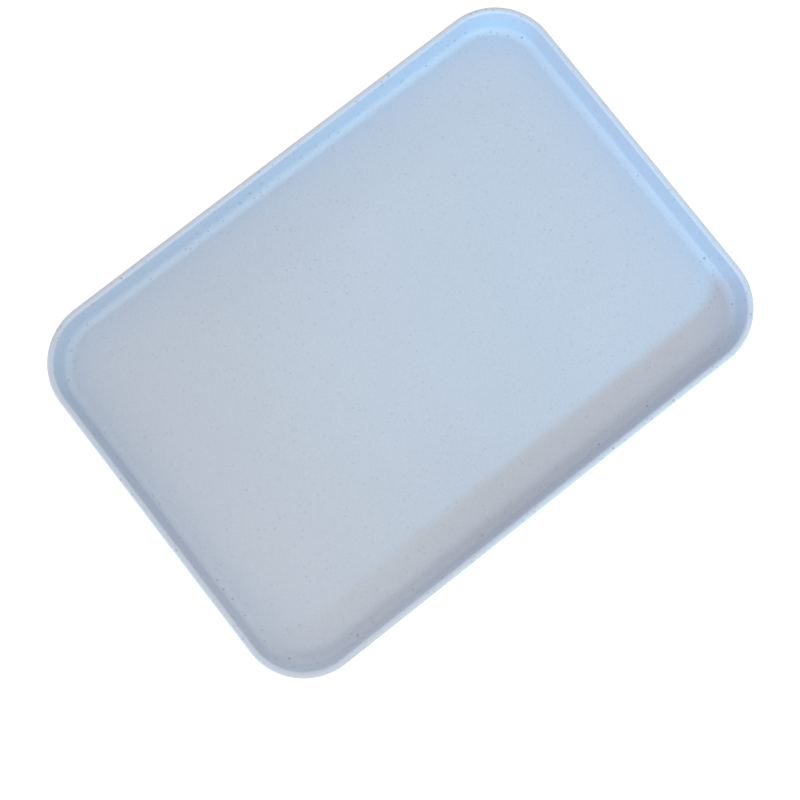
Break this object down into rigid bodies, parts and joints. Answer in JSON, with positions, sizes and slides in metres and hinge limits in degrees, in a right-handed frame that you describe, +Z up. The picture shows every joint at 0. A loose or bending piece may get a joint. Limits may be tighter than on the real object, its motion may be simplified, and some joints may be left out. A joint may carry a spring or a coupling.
{
  "type": "jigsaw puzzle sorting tray",
  "caption": "Shallow rectangular tray with rounded corners, a low drafted wall and a plain rim, for sorting loose jigsaw pieces; stackable, moulded in one piece.",
  "frame": {"origin": "on the surface that the tray stands on, below the middle of the floor", "axes": "+X along the tray's length, +Y along its width, +Z up out of the open side"},
  "size_m": [0.305, 0.218, 0.018],
  "materials": {
    "pale_blue_plastic": "satin, fine-grained, with a few tiny fibre flecks"
  },
  "bodies": {
    "root": {"tray": "pale_blue_plastic"}
  },
  "joints": []
}
